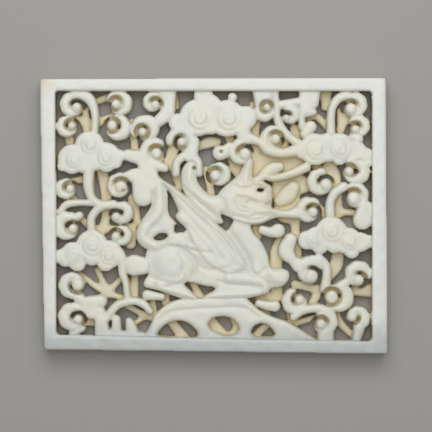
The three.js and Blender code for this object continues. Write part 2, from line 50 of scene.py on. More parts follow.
MM = 0.001

# ---- heights above the flat back, mm ----
THICKNESS = 8
BACK = 0
LATTICE_TOP = 3.2
FROND_FOOT = 2.6
FROND_TOP = 7
KNOB_TOP = 7.4
SUNKEN_TOP = 4.8
CLOUD_TOP = FROND_TOP
SCROLL_TOP = 7.3
BEAST_TOP = 6.7
RIDGE_TOP = BEAST_TOP
LIMB_TOP = BEAST_TOP + 0.4
HAUNCH_TOP = BEAST_TOP + 0.5
WING_TOP = LIMB_TOP
MANE_TOP = LIMB_TOP
HEAD_TOP = 7.3
RIM_TOP = 7.5
FACE_TOP = 7.6
NUB_TOP = LIMB_TOP + 0.2

# ---- width over which each raised part eases up, mm ----
KNOB_SLOPE = 1.2
HAUNCH_SLOPE = 4.0
LIMB_SLOPE = 1.2
MANE_SLOPE = 2.0
HEAD_SLOPE = 2.5
WING_SLOPE = 1.0
RIM_SLOPE = 0.8
FACE_SLOPE = 0.9

# ---- curls, mm and degrees ----
MAX_SWEEP = 345
CURL_STEPS = 60
SCALLOPS = 6
SCALLOP_HEIGHT = 0.13
SLIT_DEPTH = 3.4
SLIT_FROM_KNOB = 0.35
LINE_DEPTH = 0.3
MOUTH_TURN = 15
MOUTH_OUT = 0.75
KNOB_ROOM = 0.2

# ---- edges and relief, mm ----
# Corners are cut back, edges are rounded, strokes that meet get a fillet, and walls flare at the foot.
CORNER = 0.8
SHARP_CORNER = 0.5
ARCH_CORNER = 1.0
BORDER_EDGE = 0.6
LAYER_EDGE = 0.9
BEAST_EDGE = 1.0
LEAF_EDGE = 1.2
FILLET = 0.4
CURL_FILLET = 0.1
LATTICE_FILLET = 1.2
FLARE = 0.25
BACK_FLARE = 0.2
RIDGE_FLARE = 0.3
DRILL_SPREAD = 0.3
SCROLL_ROOM = 0.6
WHORL_DEPTH = 0.14
WHORL_TURNS = 2.2
WAVE_DEPTH = 0.16
WAVE_RATE = 1.9

# ---- outlines and centrelines, mm ----
# The border was cut by hand and is slightly out of square.
BORDER_OUTSIDE = [[-48.4, 37.2], [-47.8, 37.8], [47.1, 38.1], [47.6, 37.6], [48.1, -38.1],
  [47.6, -38.6], [-46.7, -37.4], [-47.2, -36.9]]
BORDER_INSIDE = [[-44.0, 34.4], [43.6, 34.3], [43.6, -34.9], [0, -34.2], [-43.7, -33.1]]

# Curled fronds. Each row: centre x, y, outer radius, angle at the neck in degrees, way round
# (1 is counterclockwise), knob x, y, knob radius, half width at the neck.
CURLS = [
  [-39.3, 30.5, 3.8, 70, 1, -38.2, 29.9, 1.5, 1.1],
  [-41.0, 24.5, 3.0, 60, 1, -39.6, 24.8, 1.3, 0.9],
  [-26.4, 30.8, 3.9, 150, -1, -27.3, 30.8, 1.5, 1.0],
  [-26.7, 24.2, 3.6, 135, -1, -28.4, 24.9, 1.6, 1.0],
  [-41.3, 7.2, 2.9, 70, 1, -40.0, 7.3, 1.4, 0.9],
  [-41.0, -3.2, 4.2, 45, 1, -39.2, -3.8, 1.5, 1.2],
  [-25.6, 0.8, 2.9, 130, -1, -27.3, -0.5, 1.4, 1.0],
  [-25.6, -5.6, 2.6, 120, -1, -27.3, -5.9, 1.4, 0.8],
  [-39.6, -19.6, 3.7, 290, -1, -37.9, -19.4, 1.9, 1.2],
  [-39.4, -28.5, 4.2, 60, 1, -37.8, -29.0, 1.5, 1.2],
  [-17.0, 31.2, 3.0, 60, 1, -16.4, 30.6, 1.4, 1.1],
  [-19.0, 23.7, 4.3, 200, -1, -20.0, 23.1, 1.4, 1.0],
  [-16.8, 17.0, 4.4, 60, 1, -16.1, 17.1, 1.7, 1.2],
  [-8.8, 20.6, 4.6, 185, -1, -9.1, 20.3, 1.4, 1.0],
  [-26.2, 7.9, 3.8, 80, 1, -25.9, 7.8, 1.9, 1.2],
  [7.8, 17.3, 4.0, 100, 1, 8.5, 17.0, 1.8, 1.5],
  [1.3, 11.2, 3.4, 150, -1, 0.3, 11.0, 1.7, 1.0],
  [14.0, 28.7, 2.9, 110, 1, 14.6, 29.9, 1.2, 1.4],
  [20.9, 28.0, 3.0, 100, -1, 20.0, 27.0, 1.1, 1.3],
  [16.4, 21.0, 3.9, 40, 1, 17.0, 21.1, 1.6, 1.2],
  [39.0, 30.6, 3.6, 135, -1, 37.9, 29.5, 1.8, 1.2],
  [40.2, 24.6, 3.2, 140, -1, 39.2, 23.8, 1.4, 1.0],
  [39.8, 12.0, 3.4, 120, -1, 37.4, 12.1, 1.5, 1.2],
  [29.5, 9.1, 3.8, 75, 1, 31.0, 8.5, 1.8, 0.9],
  [39.3, 5.2, 3.8, 120, -1, 38.7, 4.7, 2.0, 1.3],
  [26.3, 1.2, 3.8, 45, 1, 27.4, 0.8, 1.6, 1.0],
  [27.0, -15.6, 4.4, 30, 1, 27.0, -17.0, 2.0, 1.2],
  [40.0, -16.6, 3.9, 0, 1, 40.1, -18.1, 1.7, 1.3],
  [34.8, -22.9, 3.9, 150, -1, 32.6, -22.8, 2.0, 1.2],
  [39.8, -28.7, 3.5, -80, 1, 38.3, -28.4, 1.5, 1.5],
  [30.5, -30.2, 3.9, 110, -1, 29.6, -30.3, 1.6, 1.2],
  [22.6, -24.2, 3.9, 110, 1, 23.7, -23.5, 1.5, 1.2],
]

# Strokes of the front layer. Each point is x, y, half width. By the upper border, two broad strokes
# only fill the crease between their neighbours.
STEMS = [
  [[-33.3, 23, 1.0], [-33.1, 27, 1.0], [-33.6, 30, 1.2], [-35.2, 32.6, 1.5], [-38.6, 33.6, 1.4]],
  [[-34.9, 12, 1.5], [-35.0, 8, 1.4], [-34.0, 4.6, 1.1], [-31.5, 2.8, 1.2], [-28, 2.9, 1.2]],
  [[-34.2, -4, 1.1], [-34.2, -1, 1.1], [-32.8, 1.2, 1.1], [-30.5, 2.7, 1.1]],
  [[-43, 0.8, 0.8], [-41, 2.9, 1.0], [-37.5, 3.4, 0.9], [-34, 3.2, 0.8]],
  [[-39, -1, 1.2], [-37.5, -0.2, 1.1]],
  [[-38.3, -22, 1.5], [-36.6, -24.2, 1.6], [-34, -24.2, 1.7], [-31.6, -24, 1.75]],
  [[-36.5, -26, 1.1], [-34.4, -27.4, 1.5], [-32, -27, 1.7]],
  [[-36.5, -24.5, 1.2], [-33, -26.5, 1.6], [-31.6, -29, 1.7], [-31, -34, 2.2]],
  [[-27.6, -34, 1.7], [-27.2, -31, 1.3], [-27.3, -29.1, 1.25]],
  [[-22.6, -34, 2.0], [-23.2, -31, 1.4], [-23.8, -29.4, 0.8]],
  [[-39.4, -33, 1.0], [-36.6, -31.6, 0.8]],
  [[-31, -33.2, 1.4], [-20, -34, 1.4]],
  [[-30, -28.8, 1.1], [-27.5, -25.6, 1.1], [-25, -24.4, 1.05], [-22, -24.0, 1.05], [-19.5, -25, 1.05],
    [-17.8, -26.8, 0.8]],
  [[-25.6, -12, 1.2], [-25.5, -16, 1.1], [-24.6, -19, 0.9], [-24.1, -23, 0.9]],
  [[-22.2, -14, 2.9], [-20, -14.2, 2.4]],
  [[-18.6, -22.3, 1.4], [-14.6, -22.8, 0.9]],
  [[-13.2, 34.5, 2.6], [-12.9, 31, 2.1], [-13.2, 28.3, 2.0], [-15.5, 26, 1.6]],
  [[-10.7, 11.5, 1.0], [-10.2, 14.8, 1.1], [-7.2, 16.7, 1.2], [-4.6, 14.8, 1.1], [-4.2, 11.5, 0.9]],
  [[-6.4, 20, 2.3], [-6.6, 16.5, 2.0]],
  [[-24.6, 10.5, 1.4], [-21, 10.5, 2.3], [-19.8, 5.2, 2.8]],
  [[-24, 16.6, 1.6], [-19.5, 15, 2.2], [-18, 9, 3.0]],
  [[-17, 14, 1.5], [-13.8, 13, 1.1]],
  [[1.5, 17.2, 2.0], [3.0, 17.6, 1.7], [4.2, 19.2, 1.0]],
  [[7.6, 25, 2.0], [8.3, 21.6, 2.0]],
  [[8.6, 21.5, 1.8], [12.3, 20.4, 1.1], [15, 18.0, 1.3], [19, 17.2, 1.3], [23, 18, 1.6]],
  [[12.2, 34.5, 1.6], [12.8, 31.0, 1.6]],
  [[15.2, 34.6, 1.2], [15.0, 31, 1.0]],
  [[13.6, 34.6, 2.6], [13.8, 31.2, 2.1]],
  [[16.8, 34.5, 1.1], [17.3, 30, 0.9], [17.6, 26.5, 1.1], [19.0, 23.6, 1.2], [21.2, 21.4, 1.1],
    [24, 19.5, 1.2]],
  [[18.6, 30.6, 1.2], [24, 31.5, 1.2]],
  [[25.2, 34.8, 1.6], [25.4, 31.6, 1.7], [26.6, 30.9, 1.5]],
  [[25.0, 31, 1.5], [25.4, 29, 1.7], [27.6, 28.5, 0.9]],
  [[28.2, 34.8, 1.3], [27.8, 31, 1.2]],
  [[26.6, 34.8, 2.8], [26.6, 31.2, 2.2]],
  [[24.4, 29, 0.9], [24.3, 24.4, 0.9]],
  [[25.2, 22.5, 1.3], [26.8, 24.5, 1.6]],
  [[32.4, 23, 1.2], [32.4, 27, 1.1], [32.9, 30, 1.1], [34.6, 32.4, 1.2], [37, 33.4, 1.3]],
  [[32.2, 0, 1.3], [32.2, 3.4, 1.2], [33.6, 6.2, 1.2], [36, 7.8, 1.3]],
  [[41.2, -1.5, 2.6], [42.0, 2.0, 2.0]],
  [[30.8, -20.6, 1.4], [31.2, -17, 1.2], [31, -14.2, 1.2], [29, -12, 1.3]],
  [[22, -28.4, 1.0], [25, -26.5, 1.1], [29, -26.0, 1.2], [32, -27.4, 1.4], [33.2, -30, 1.3]],
  [[31, -34.5, 2.2], [31, -32, 2.2]],
  [[39.4, -34.8, 1.2], [40.2, -31.8, 1.5]],
  [[12.4, -24.6, 1.0], [14.6, -25.2, 1.2], [16.8, -25.4, 1.5]],
  [[13.4, -4.2, 1.2], [15.8, -4.8, 1.4], [17.7, -4.4, 1.9]],
  [[21.2, -6.8, 1.7], [20, -10, 2.2], [21.8, -12.6, 1.4], [23.5, -14, 2.0]],
  [[16, 0.6, 1.2], [20, 0.2, 1.0], [23, 0.6, 1.6]],
  [[35, -20, 1.4], [37.4, -18, 1.1], [37.6, -15.6, 1.1]],
  [[11.6, 9.6, 1.0], [14, 10.8, 1.1], [16.5, 10.2, 0.9], [20.9, 11.3, 1.1], [25.5, 13.2, 1.3]],
  [[13.4, 11.4, 1.0], [15.8, 12.7, 1.7], [18.2, 13.4, 1.2]],
  [[39, 22, 1.4], [40, 21, 1.4]],
]

# A leaf by the muzzle that lies between the two layers.
SUNKEN_LEAF = [[18.2, 3.9, 1.5], [20.4, 5.5, 2.3], [22.0, 7.6, 1.8]]

# Strokes of the back layer.
LATTICE = [
  [[-31.5, 13, 1.6], [-30.2, 6, 1.6], [-30.2, 0, 1.4], [-31.4, -4.6, 1.2]],
  [[-36, 29.5, 0.9], [-35.6, 23.5, 1.2]],
  [[-36, 26, 1.2], [-41.5, 27, 1.2]],
  [[-41, 23.5, 1.3], [-40.4, 20.5, 1.3]],
  [[-33.2, 31.6, 1.0], [-28, 33.5, 1.0]],
  [[-33, 25.5, 1.3], [-28, 27.6, 1.0]],
  [[-36.5, 10, 1.1], [-42, 9, 1.0]],
  [[-41.5, 5, 1.2], [-39, 4.6, 0.8]],
  [[-38, -0.6, 1.0], [-34, -3.8, 1.0]],
  [[-32.5, -4.0, 0.9], [-23.5, -3.8, 1.2]],
  [[-23.4, -4, 1.4], [-23.4, -8, 1.6]],
  [[-22.6, 4.5, 1.6], [-21.5, -2, 1.0]],
  [[-38, -16.4, 0.9], [-30.5, -21.6, 0.9], [-24.5, -23.4, 0.8]],
  [[-32.6, -15.4, 0.8], [-29.6, -21.8, 1.0]],
  [[-26, -17.8, 0.8], [-30, -21.8, 1.0]],
  [[-35.8, -29.8, 1.2], [-33, -30, 1.2]],
  [[-22.2, -17, 1.1], [-22.4, -23, 1.3]],
  [[-24.5, -25.4, 0.9], [-17.6, -28.8, 0.9]],
  [[-22, -30.2, 0.7], [-17.6, -27, 0.8]],
  [[-12.8, 15.5, 1.6], [-11.4, 18.6, 1.6], [-12.6, 21.4, 1.2]],
  [[-12.2, 15.5, 1.4], [-9.4, 8, 1.4]],
  [[-22.9, 26, 1.0], [-22.2, 18.5, 1.2]],
  [[-10.9, 33.5, 0.8], [-10.5, 30, 0.7]],
  [[-4.4, 19, 1.1], [-1.5, 20.2, 1.6], [1, 20.4, 1.0]],
  [[4.2, 22, 1.4], [5.2, 17.5, 1.0]],
  [[11.6, 25.8, 1.4], [11.2, 21, 1.2]],
  [[10.6, 30.8, 0.9], [10.4, 28, 0.9]],
  [[11.6, 19, 1.4], [11.4, 16, 1.6]],
  [[5.8, 13.2, 1.5], [9, 13.4, 1.4], [13.6, 12.5, 1.5]],
  [[19.2, 19.8, 1.6], [21, 12.6, 1.2]],
  [[22.4, 24, 1.4], [23.6, 21.6, 1.4]],
  [[20.2, 1, 3.4], [20.2, 10, 4.2]],
  [[10.8, 12.4, 2.0], [15.4, 15.4, 2.2], [20.6, 14.8, 2.2], [24.4, 15, 1.8]],
  [[5.0, 15.6, 1.4], [7.2, 11, 1.6]],
  [[25, 7.5, 1.6], [24, 9.6, 1.8]],
  [[-2.2, 12.6, 1.1], [-0.8, 6, 1.1]],
  [[31, 30.2, 1.2], [31.2, 35, 1.9]],
  [[25.4, 27, 0.9], [28.6, 27.3, 1.0], [32, 24, 1.0]],
  [[35, 29, 0.9], [35.8, 26, 1.4], [35.2, 23.6, 1.2]],
  [[35.8, 26.4, 1.2], [39, 26.4, 1.0]],
  [[31.6, 15, 1.2], [33.2, 11.6, 1.9], [34.2, 8, 1.4]],
  [[28, 13.4, 0.9], [32.6, 11.6, 1.0]],
  [[28, 3.8, 0.9], [31, 0, 1.2]],
  [[35, 5.5, 0.9], [34.4, 0.2, 1.3]],
  [[34.5, 0.8, 1.0], [40, 0.6, 0.9]],
  [[22.6, -0.8, 1.5], [22.6, -7, 1.2]],
  [[23.2, -8, 1.2], [23.4, -12, 1.2]],
  [[34.6, -10, 1.6], [34.0, -14, 1.9], [32.4, -17.5, 0.9]],
  [[11.8, -3.6, 1.3], [12.3, -6, 1.0]],
  [[18.6, -8, 2.0], [17.4, -11, 1.9], [17.4, -15.5, 1.6]],
  [[17.4, -20.6, 1.7], [17.2, -23, 1.6], [15, -22.6, 1.2]],
  [[12.6, -23.5, 1.3], [12.8, -26.2, 1.3], [15, -27.8, 0.9]],
  [[22.5, -19.4, 1.2], [30, -21, 1.2]],
  [[29.4, -21.4, 1.4], [26.4, -26, 0.9]],
  [[21, -27.6, 1.0], [21.8, -30.6, 0.9]],
  [[22, -30.4, 0.9], [28.5, -28.6, 0.9]],
  [[38.8, -21.2, 1.4], [44.2, -21.2, 1.9]],
  [[34.2, -27.2, 0.8], [35.4, -30.4, 1.1], [39.6, -34.6, 0.8]],
  [[-6.4, -18.4, 0.9], [-3.6, -23.4, 1.2]],
  [[-13.6, -21, 1.2], [-13.6, -24.4, 1.2]],
  [[-17.2, -24.6, 1.0], [-17, -27, 1.0]],
  [[-13, -28.5, 1.2], [-8, -35, 1.6]],
  [[-2.5, -27.5, 1.2], [3.5, -35, 1.6]],
  [[5.5, -28.5, 1.1], [6, -31.5, 0.9], [4, -34.5, 1.0]],
  [[15.4, -30, 1.1], [10.5, -34.6, 1.0]],
]

# Discs of x, y, radius: the lobes make a cloud's outline, and each scroll is raised and has a whorl.
CLOUDS = [
  { # upper left
    "lobes": [[-34.6, 19.2, 4.2], [-39.4, 15.6, 4.1], [-30, 16.2, 4.0], [-35, 15.6, 3.8], [-42, 13.6, 1.7],
      [-39.6, 13.2, 2.0], [-36.8, 13.4, 1.8], [-33, 14.2, 2.0], [-30, 14, 2.3], [-27.6, 14.8, 2.1],
      [-26.2, 16.4, 1.8]],
    "scrolls": [[-34.6, 19.6, 3.0], [-39, 15.4, 2.6], [-30.2, 16, 2.6]],
  },
  { # top
    "lobes": [[-4.6, 27, 5.2], [3.6, 26.8, 5.2], [-10.2, 25.6, 2.6], [8.6, 27, 3.4], [-7.8, 25, 2.6],
      [-1, 30.5, 3.0], [-1, 24.6, 2.4], [5, 24.8, 2.0], [8, 24.2, 2.2], [-3, 33, 2.8], [5, 32.6, 1.4]],
    "scrolls": [[-4.2, 27, 3.6], [3.8, 26.8, 3.6]],
  },
  { # upper right
    "lobes": [[28, 18.2, 4.5], [34.8, 18.6, 4.2], [31.2, 20.4, 2.4], [31.6, 17.2, 2.6], [39.4, 17.8, 2.9],
      [42, 16.6, 2.2], [24.6, 17.6, 2.2], [28.4, 15.6, 1.8], [34.8, 15.6, 1.9], [38.2, 14.6, 1.8],
      [42.6, 14.4, 1.4]],
    "scrolls": [[28.2, 18, 3.0], [34.8, 18.2, 3.0]],
  },
  { # lower left
    "lobes": [[-34, -8.6, 4.5], [-39.2, -11, 3.6], [-29.4, -11, 4.0], [-42.2, -11.6, 2.3],
      [-38, -13.4, 2.4], [-30.2, -13.4, 2.4], [-27, -11.4, 2.4], [-34, -12, 2.2], [-41.4, -12.8, 1.8]],
    "scrolls": [[-34, -8.4, 3.1], [-39.2, -11.4, 2.5], [-29.4, -11.2, 2.8]],
  },
  { # right
    "lobes": [[32.5, -5, 4.6], [25.8, -7, 2.7], [28.4, -6.6, 3.4], [37.2, -7, 3.6], [40.6, -7.6, 2.8],
      [42.6, -7.4, 2.0], [33.4, -8.2, 2.6], [29.4, -8.6, 2.4], [38.2, -10, 2.2], [36, -8.6, 2.2]],
    "scrolls": [[32.5, -4.6, 3.2], [27.4, -6.8, 2.4], [37.6, -7.4, 2.6]],
  },
]

# The ground under the beast, and the arches through it.
RIDGE = [[-20.6, -35], [-17.8, -31], [-16.8, -28], [-13.4, -24.8], [-10, -23.4], [-4, -23.2], [2, -22.6],
  [8.7, -22.8], [12, -26.2], [16, -28.3], [20.2, -29.6], [25, -32.5], [29, -35]]

ARCHES = [
  [[-16.3, -33.3], [-13.5, -30.1], [-9.5, -29.1], [-6.4, -30.4], [-3.9, -33.4], [-6, -34.4], [-15, -33.7]],
  [[-2.0, -31.2], [-1.4, -29.2], [0.6, -28.1], [4.6, -28.3], [6.8, -30.4], [7.2, -32.4],
    [4.6, -33.8], [1, -33]],
  [[10.1, -33.4], [10.4, -31.4], [12, -30.2], [14.3, -30], [16.2, -31.6], [17.4, -33.9], [12, -34.1]],
]

# Outlines of the beast.
TAIL = [[-17.2, 11], [-17.4, 4], [-17.6, 2.2], [-20, -1.1], [-21.7, -4], [-21.7, -7.2], [-20, -9],
  [-18.6, -9.8], [-14, -9], [-9, -7], [-9, -4], [-12.8, 0.2], [-12.9, 6.5], [-15, 11]]

TRUNK = [[-18.8, -9.3], [-19.3, -12], [-19.1, -15.6], [-18, -16.4], [-19.3, -17.6], [-20, -20],
  [-15, -21.2], [-9, -23.4], [-3.8, -23.6], [-6.4, -21.4], [-8.9, -18.9], [-6.4, -18.6], [-2.8, -19.8],
  [0.2, -20], [0.3, -21.0], [-2.2, -22.0], [-3.6, -23.4], [2, -23.8], [8.8, -23.4], [15.4, -21.8],
  [15.4, -20.3], [18.8, -20.1], [20.2, -19], [21.3, -16.6], [20, -14.9], [15.4, -14.9], [15.1, -11.4],
  [13.3, -7.6], [10.4, -4.6], [10, -1.6], [5.4, -0.6], [5.3, -1.9], [3.6, -4.6], [0, -5],
  [-6.8, -3.6], [-9.6, -5.4], [-12, -7]]

WING = [[-15.4, 10.4], [-12.9, 9.0], [-9.8, 7], [-5.1, 2.2], [-0.2, -1.8], [3.5, -4.6], [6, -8.4],
  [8.5, -12.4], [9.1, -15.5], [4, -17], [-2, -14], [-6.4, -8], [-7.8, -3.8], [-10.4, -1.6], [-11.2, 0.2],
  [-9.8, 0.6], [-12.2, 6]]

HEAD = [[0.6, 5.4], [2.2, 7.4], [4.4, 9.2], [6.6, 11.0], [9.2, 15.6], [10.9, 16.0], [10.6, 9.6], [13, 9.9],
  [14.6, 8.8], [16.3, 7.8], [16.2, 3.4], [15.6, 1.9], [17.6, 1.4], [20, 0.7], [19.6, -0.2], [16, -1.2],
  [12.8, -2.8], [9.7, -2.8], [5.2, -1.3], [2.8, -0.8]]

MANE = [[-9, 13.2], [-7, 15.3], [-5, 14.6], [-4.8, 12], [-4.9, 9.4], [-2.6, 6.4], [-0.6, 5.2], [3, 6],
  [4, 1], [2.6, -0.6], [2.6, -3], [-0.2, -1.8], [-5.1, 2.2], [-8.8, 6.6], [-9.4, 10]]

# Raised bands on the beast, from thigh to tail. Each point is x, y, half width.
LIMBS = [
  [[-10, -17, 2.2], [-15.5, -19.2, 1.6]],
  [[-15, -20.2, 1.2], [-9, -21.8, 1.1], [-3.8, -23.6, 1.0]],
  [[4, -17.5, 1.6], [13, -18.6, 1.5], [13, -21.4, 1.3], [3, -22.2, 1.2], [-1.4, -22.6, 0.8]],
  [[12, -16, 1.4], [15.5, -17.0, 2.0], [18.8, -17.4, 2.2]],
  [[-17.6, -9.4, 0.9], [-12.3, -7.7, 0.9], [-4, -9.2, 0.7]],
  [[-16, -8.8, 1.6], [-19.6, -6.4, 1.7], [-19, -3, 1.7], [-15.6, 1, 1.9], [-15.2, 9, 1.4]],
]
# The raised band along the wing's leading edge.
WING_RIM = [[-14.6, 9.4, 0.6], [-10, 5.9, 0.7], [-5.2, 1.4, 0.7], [0.3, -3.3, 0.7], [4.6, -8.5, 0.6],
  [7.9, -14, 0.6]]
# Bands of the head: brow, lobe over the muzzle, muzzle, jaw and lip.
FACE = [
  [[6.4, 5.8, 0.6], [9.2, 5.6, 0.8], [12.6, 4.2, 0.6]],
  [[10.6, 8.9, 0.6], [12.8, 8.9, 0.9], [14.4, 8.0, 0.8]],
  [[15.3, 7.2, 0.9], [15.3, 4.4, 0.9]],
  [[2.4, 0.2, 0.5], [5.4, -0.9, 0.6], [9.7, -2.0, 0.7], [13, -1.8, 0.7], [15.2, -0.8, 0.5]],
  [[12.6, 0.9, 0.5], [15.6, 1.2, 0.6], [19.4, 0.3, 0.5]],
]
# The rounded haunch: x, y, radius.
HAUNCH = [-12.3, -14, 5.9]

# Openings through the beast: three by the tail, one at the neck and a slot over the muzzle.
BEAST_GAPS = [
  [[-12.3, 5.8], [-9.8, 0.6], [-12.6, 0.2]],
  [[-10.9, -2.2], [-8.2, -4.6], [-11.2, -5.1]],
  [[-17.3, -6.6], [-15.2, -5.0], [-12.9, -5.2], [-13.2, -6.6], [-15.4, -7.2]],
  [[1.6, 0.4], [5.4, -1.2], [3.6, -4.3]],
  [[11.6, 7.0], [12.6, 7.5], [14.1, 7.2], [13.4, 6.4], [12.3, 6.3]],
]

# Engraved lines. Each row: depth, how far the sides spread, then points of x, y, half width.
ENGRAVING = [
  # wing: a line inside its leading edge, then the grooves between its feathers
  [0.22, 0.4, [[-7.0, 3.4, 0.2], [-2.0, -0.9, 0.25], [2.0, -5.6, 0.25], [4.8, -9.3, 0.25],
    [7.3, -13, 0.2]]],
  [0.10, 0.9, [[-9, 4.2, 0.4], [-3.4, -1.6, 0.5], [1.0, -6.4, 0.5], [4.2, -11, 0.5], [5.4, -14, 0.4]]],
  [0.10, 0.9, [[-10.4, 2.6, 0.4], [-5.4, -2.6, 0.5], [-1.4, -7, 0.5], [2.4, -12.6, 0.4]]],
  [0.10, 0.8, [[-7.4, -2.6, 0.3], [-4.4, -6.2, 0.4], [-0.6, -10.6, 0.4], [0.6, -13.6, 0.3]]],
  # the hollow between the wing and the chest, and between the mane and the wing
  [0.6, 2.0, [[1.9, 0.4, 0.4], [3.9, -4.4, 0.7], [6.8, -8.4, 0.8], [9.2, -12.4, 0.8], [9.9, -15.4, 0.6]]],
  [0.6, 1.6, [[-8.4, 7.6, 0.3], [-3.9, 3.3, 0.6], [0.6, -0.6, 0.6], [2.6, -3.0, 0.4]]],
  # round the haunch
  [0.4, 1.4, [[-9.4, -9.2, 0.4], [-6.4, -11.4, 0.6], [-5.2, -14.4, 0.6], [-6.2, -17.6, 0.4]]],
  [0.12, 0.7, [[-9.8, -10.6, 0.3], [-8.5, -13.2, 0.4], [-8.9, -16.2, 0.4], [-10.4, -17.8, 0.3]]],
  [0.10, 0.7, [[-18.4, -10.6, 0.4], [-14, -9.6, 0.4], [-9.8, -9.6, 0.4]]],
  # back, belly and shoulder
  [0.25, 0.9, [[-12, -8.7, 0.3], [-7, -9.7, 0.4], [-0.8, -10.6, 0.3]]],
  [0.2, 1.2, [[-5.4, -13.6, 0.4], [-1.4, -15.4, 0.5], [4.4, -14.6, 0.4]]],
  [0.2, 0.9, [[1.4, -18.4, 0.3], [4.4, -19.4, 0.4], [10.4, -19.8, 0.4]]],
  [0.15, 0.6, [[2.4, -16.0, 0.3], [4.4, -15.4, 0.3], [6.6, -15.8, 0.3]]],
  [0.4, 1.2, [[9.9, -15.8, 0.4], [12.2, -16.4, 0.5], [14.4, -15.0, 0.4]]],
  [0.3, 0.9, [[14.4, -15.4, 0.3], [15.4, -17.6, 0.3], [15.6, -20.2, 0.3]]],
  [0.2, 1.0, [[-18.6, -17.0, 0.3], [-13, -18.8, 0.4], [-9.4, -19.2, 0.3]]],
  # root of the tail
  [0.2, 0.8, [[-16.2, -9.6, 0.3], [-14.6, -8.0, 0.3], [-12, -6.8, 0.3]]],
  # head: eye, cheek rings, nostril notch, mouth, jaw, and the root and middle of the horn
  [0.3, 0.4, [[8.9, 3.4, 0.2], [10.2, 3.9, 0.4], [11.8, 3.4, 0.2]]],
  [0.15, 0.5, [[9.0, 1.9, 0.25], [7.7, 2.1, 0.3], [7.2, 3.4, 0.3], [7.9, 4.6, 0.25]]],
  [0.15, 0.5, [[9.2, 0.8, 0.25], [7.0, 1.0, 0.3], [5.9, 3.0, 0.3], [6.4, 5.0, 0.25]]],
  [1.0, 0.6, [[14.6, 3.0, 0.3], [16.4, 3.2, 0.5]]],
  [0.2, 0.8, [[10.4, -0.3, 0.3], [13.4, 0.1, 0.4], [16.8, -0.1, 0.4]]],
  [0.1, 0.8, [[2.2, 1.4, 0.3], [5.6, 0.3, 0.3], [8.6, -0.6, 0.3], [10.4, -0.4, 0.3]]],
  [0.25, 1.0, [[4.4, 8.8, 0.3], [7.4, 7.4, 0.4], [10.4, 7.6, 0.4]]],
  [0.12, 0.7, [[7.6, 8.6, 0.3], [9.2, 12, 0.3]]],
  # mane lock
  [0.12, 0.7, [[-8.0, 11.0, 0.3], [-7.4, 8.6, 0.3], [-4.6, 5.0, 0.3], [-0.6, 2.0, 0.25]]],
  # ridge: a line along its skyline
  [0.2, 0.8, [[-15.6, -29.2, 0.4], [-12, -27, 0.5], [-6, -26.2, 0.4], [1, -25.8, 0.4],
    [8, -25.8, 0.5], [12.4, -28.4, 0.4]]],
]
# Small drilled holes: x, y, radius, depth.
DRILLED = [[1.9, 17.6, 0.4, 2.2], [-25.3, 6.7, 0.45, 1.8], [-5.6, 13.0, 0.5, 2.4]]
# Nubs along the back: x, y, radius.
NUBS = [[-16.4, -8.8, 0.9], [-14.4, -8.1, 0.9], [-12.2, -7.6, 0.85], [-10.0, -7.8, 0.8], [-7.8, -8.2, 0.7]]

# ---- finish ----
JADE_PALE = (0.80, 0.79, 0.68, 1)
JADE_COOL = (0.77, 0.78, 0.71, 1)
# Whiter on what stands highest, which is mostly the border, and greyer and darker along its lower side as
# painted shade, where the light falls off towards the bottom, mm.
JADE_WHITE = (0.80, 0.81, 0.76, 1)
JADE_SHADE_GREY = (0.50, 0.53, 0.52, 1)
SHADE_STARTS = -29
SHADE_FULL = -35
SHADE_SHARE = 0.85
# The recesses: tan patina, and brown in the deepest, which is partly patina and partly painted shade on
# the deep walls.
JADE_TAN = (0.76, 0.68, 0.47, 1)
JADE_BROWN_PATINA_AND_SHADE = (0.52, 0.39, 0.22, 1)
# Tan stains round a few spots: centre, radius in mm, strength at the centre.
STAINS = [((17, 11, 6), 17, 0.55), ((-48, 37.6, 8), 5, 0.9), ((-30, 5, 6), 12, 0.2),
  ((30, -25, 6), 14, 0.2)]
# Noises: scale, detail, roughness. The first varies the colour in patches from one share to another.
PATCHES = (110.0, 5.0, 0.6)
PATCH_SPAN = (0.4, 0.65)
MOTTLE = (600.0, 4.0, 0.65)
MOTTLE_SHARE = 0.35
PITS = (1500.0, 3.0, 0.5)
PIT_DEPTH = 0.1
# How deep in the carving each colour comes in, as a share of the way to the back layer.
TAN_SPAN = (0.25, 0.75)
BROWN_PATINA_AND_SHADE_SPAN = (0.9, 1.35)
POLISHED = 0.3
DULL = 0.6
# The recess attribute grows over SUNK_RANGE below the fronds' top, after an allowance, and over
# HOLLOW_RANGE below the blurred front. The lesser of the two counts, mm.
TOP_ALLOWANCE = 1
SUNK_RANGE = 3.0
HOLLOW_RANGE = 4.5
HOLLOW_START = 0.25
FRONT_BLUR = 1.2

# ---- floor, light and camera, metres and watts ----
FLOOR_COLOR = (0.41, 0.40, 0.38, 1)
FLOOR_HALF = 0.6
# Soft lights aimed at the plaque: name, place, size, power.
LIGHTS = [
  ("key", (0.0, 0.24, 0.37), (0.36, 0.24), 0.74),
  ("overhead", (0.0, 0.08, 0.75), (0.3, 0.3), 1.25),
]
SKY_STRENGTH = 0.3
CAMERA_HEIGHT = 0.64
VIEW_WIDTH = 0.1196
VIEW_CENTRE = (0.00047, -0.00032)

# ---- field of signed distances, mm ----
GRID = 0.25
# Room left round the plaque, how far the field is worked out, and how far round each shape.
ROOM = 0.75
FAR = 3.0
REACH = 1.2
LINE_SPACING = 0.3
TRIANGLES = 194000

Plan = namedtuple("Plan", "box distance")
Patch = namedtuple("Patch", "columns x y")


def axis(low, high):
    """Grid coordinates that cover a span with some room on both sides, mm."""
    count = math.ceil((high - low + 2 * ROOM) / GRID) + 1
    return low - ROOM + GRID * np.arange(count, dtype=np.float32)


def span(points, place):
    """The least and greatest of one coordinate of some points."""
    values = [point[place] for point in points]
    return min(values), max(values)


